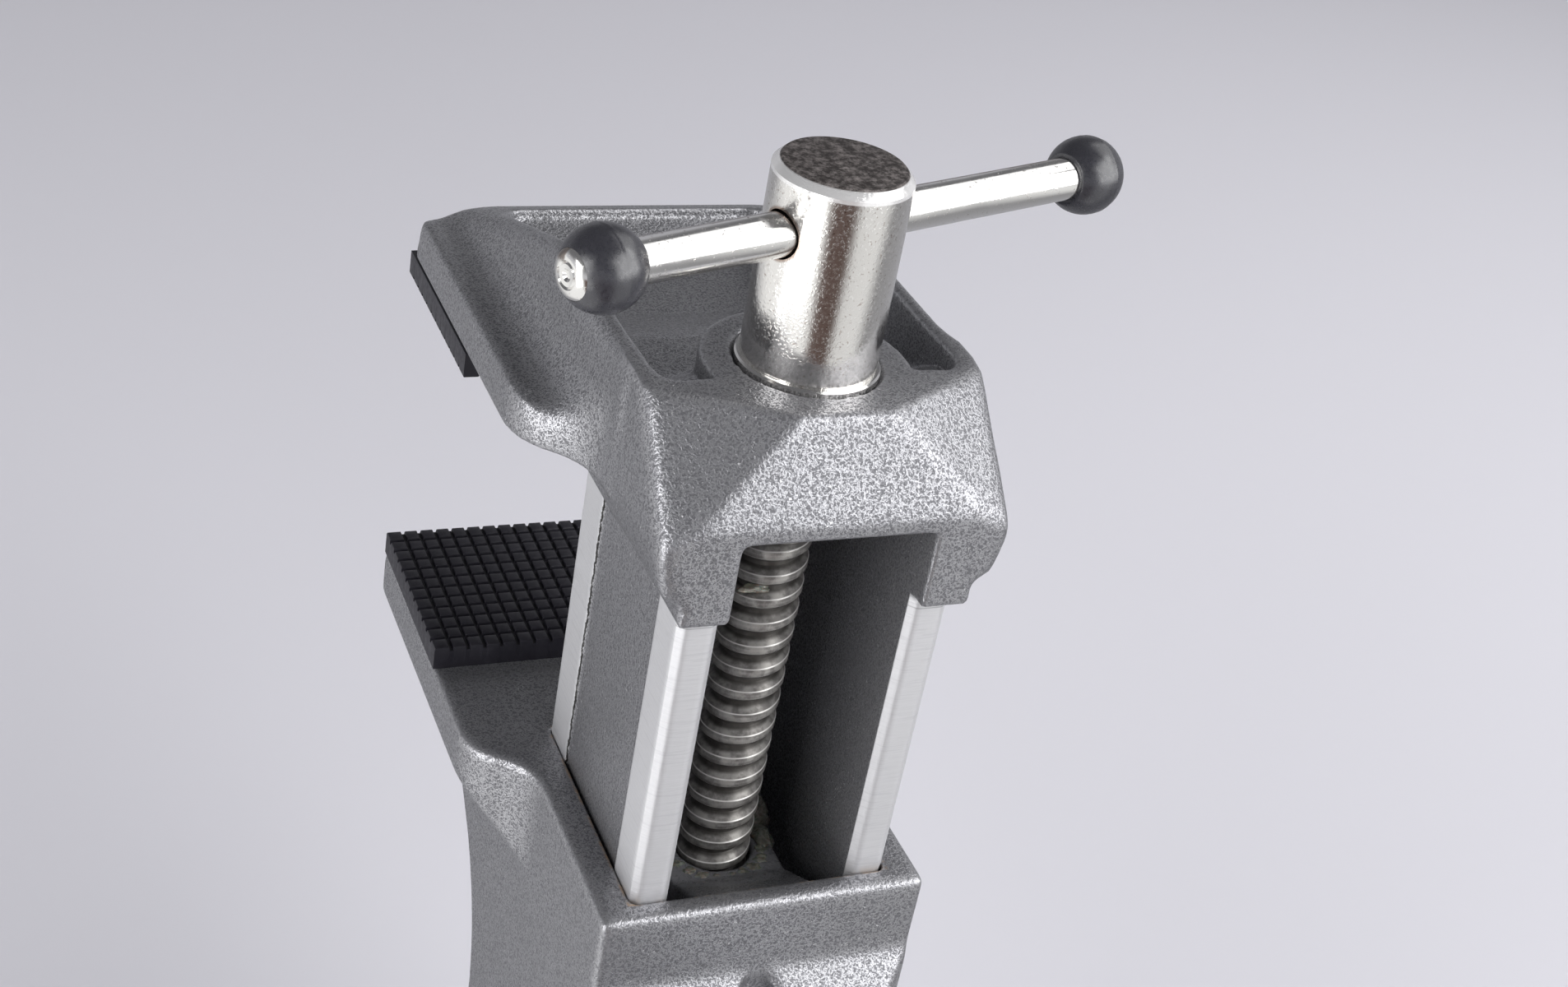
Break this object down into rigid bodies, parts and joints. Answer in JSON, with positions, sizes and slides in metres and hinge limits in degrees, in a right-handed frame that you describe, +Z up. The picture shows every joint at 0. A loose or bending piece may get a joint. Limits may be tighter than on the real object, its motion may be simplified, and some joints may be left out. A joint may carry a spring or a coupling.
{
  "type": "suction base bench vise",
  "caption": "Bench vise on a ball joint and a lever-operated suction foot, with a screw-driven sliding jaw, gridded rubber jaw pads and a sliding handle bar.",
  "frame": {"origin": "middle of the suction foot's underside, on the table", "axes": "+Z up, along the jaw screw with the head folded over; +Y from the foot towards the jaws; +X to the right seen from the foot, where the suction lever is"},
  "size_m": [0.128, 0.213, 0.2655],
  "materials": {
    "hammered_paint": "hammered grey",
    "jaw_casting": "hammered grey, with the channel's corner strips machined bare",
    "pad_rubber": "moulded",
    "black_rubber": "moulded",
    "screw_steel": "satin nickel plate",
    "washer_steel": "turned",
    "bright_steel": "zinc plated",
    "ball_steel": "polished",
    "bar_chrome": "polished",
    "lever_chrome": "satin plate",
    "bush_bronze": "sintered bronze",
    "knob_plastic": "gloss",
    "black_plastic": "satin"
  },
  "bodies": {
    "base": {"base_housing": "hammered_paint", "socket_ring": "hammered_paint", "ring_screws": "bright_steel", "suction_cup": "black_rubber", "shaft_bush": "bush_bronze"},
    "stem": {"ball_stem": "ball_steel"},
    "head": {"fixed_jaw": "hammered_paint", "fixed_jaw_pad": "pad_rubber", "screw_nut": "bright_steel", "stem_set_screw": "bright_steel"},
    "jaw": {"moving_jaw": "jaw_casting", "moving_jaw_pad": "pad_rubber", "thrust_washer": "washer_steel"},
    "screw": {"jaw_screw": "screw_steel", "screw_collar": "bright_steel", "collar_pin": "bright_steel"},
    "handle": {"handle_bar": "bar_chrome", "handle_knob_left": "knob_plastic", "handle_knob_right": "knob_plastic"},
    "lock_pad": {"lock_pad": "bright_steel"},
    "lock_screw": {"lock_screw": "screw_steel"},
    "lock_handle": {"lock_bar": "bar_chrome", "lock_knob_front": "knob_plastic", "lock_knob_back": "knob_plastic"},
    "lever": {"cam_shaft": "bright_steel", "suction_lever": "lever_chrome", "lever_grip": "black_plastic", "lever_pin": "bright_steel", "shaft_clip": "bright_steel"},
    "pull": {"pull_stud": "bright_steel", "suction_web": "black_rubber"}
  },
  "joints": [
    {"name": "ball_tilt", "type": "hinge", "parent": "base", "child": "stem", "pos_m": [0, 0, 0.104], "axis": [1, 0, 0], "range_deg": [0, 90]},
    {"name": "head_turn", "type": "hinge", "parent": "stem", "child": "head", "pos_m": [0, 0, 0.104], "axis": [0, 1, 0], "range_deg": [-90, 90]},
    {"name": "jaw_slide", "type": "slide", "parent": "head", "child": "jaw", "axis": [0, 0, 1], "range_m": [-0.0535, 0.0164]},
    {"name": "screw_turn", "type": "hinge", "parent": "jaw", "child": "screw", "pos_m": [0, 0.067, 0.2124], "axis": [0, 0, 1], "range_deg": [-4378, 1342.5]},
    {"name": "handle_slide", "type": "slide", "parent": "screw", "child": "handle", "axis": [0.9511, 0.309, 0], "range_m": [-0.037, 0.025]},
    {"name": "lock_press", "type": "slide", "parent": "base", "child": "lock_pad", "axis": [-1, 0, 0], "range_m": [0, 0.001]},
    {"name": "lock_turn", "type": "hinge", "parent": "lock_pad", "child": "lock_screw", "pos_m": [-0.052, 0, 0.096], "axis": [-1, 0, 0], "range_deg": [0, 240.5]},
    {"name": "lock_bar_slide", "type": "slide", "parent": "lock_screw", "child": "lock_handle", "axis": [0, 1, 0], "range_m": [-0.017, 0.017]},
    {"name": "lever_turn", "type": "hinge", "parent": "base", "child": "lever", "pos_m": [0, 0, 0.036], "axis": [1, 0, 0], "range_deg": [0, 90]},
    {"name": "foot_pull", "type": "slide", "parent": "base", "child": "pull", "axis": [0, 0, 1], "range_m": [0, 0.00425]}
  ],
  "couplings": [
    {"joint": "screw_turn", "follows": "jaw_slide", "rad_per_m": 1428},
    {"joint": "lock_turn", "follows": "lock_press", "rad_per_m": 4188.8},
    {"joint": "foot_pull", "follows": "lever_turn", "m_per_rad": 0.0027009}
  ]
}
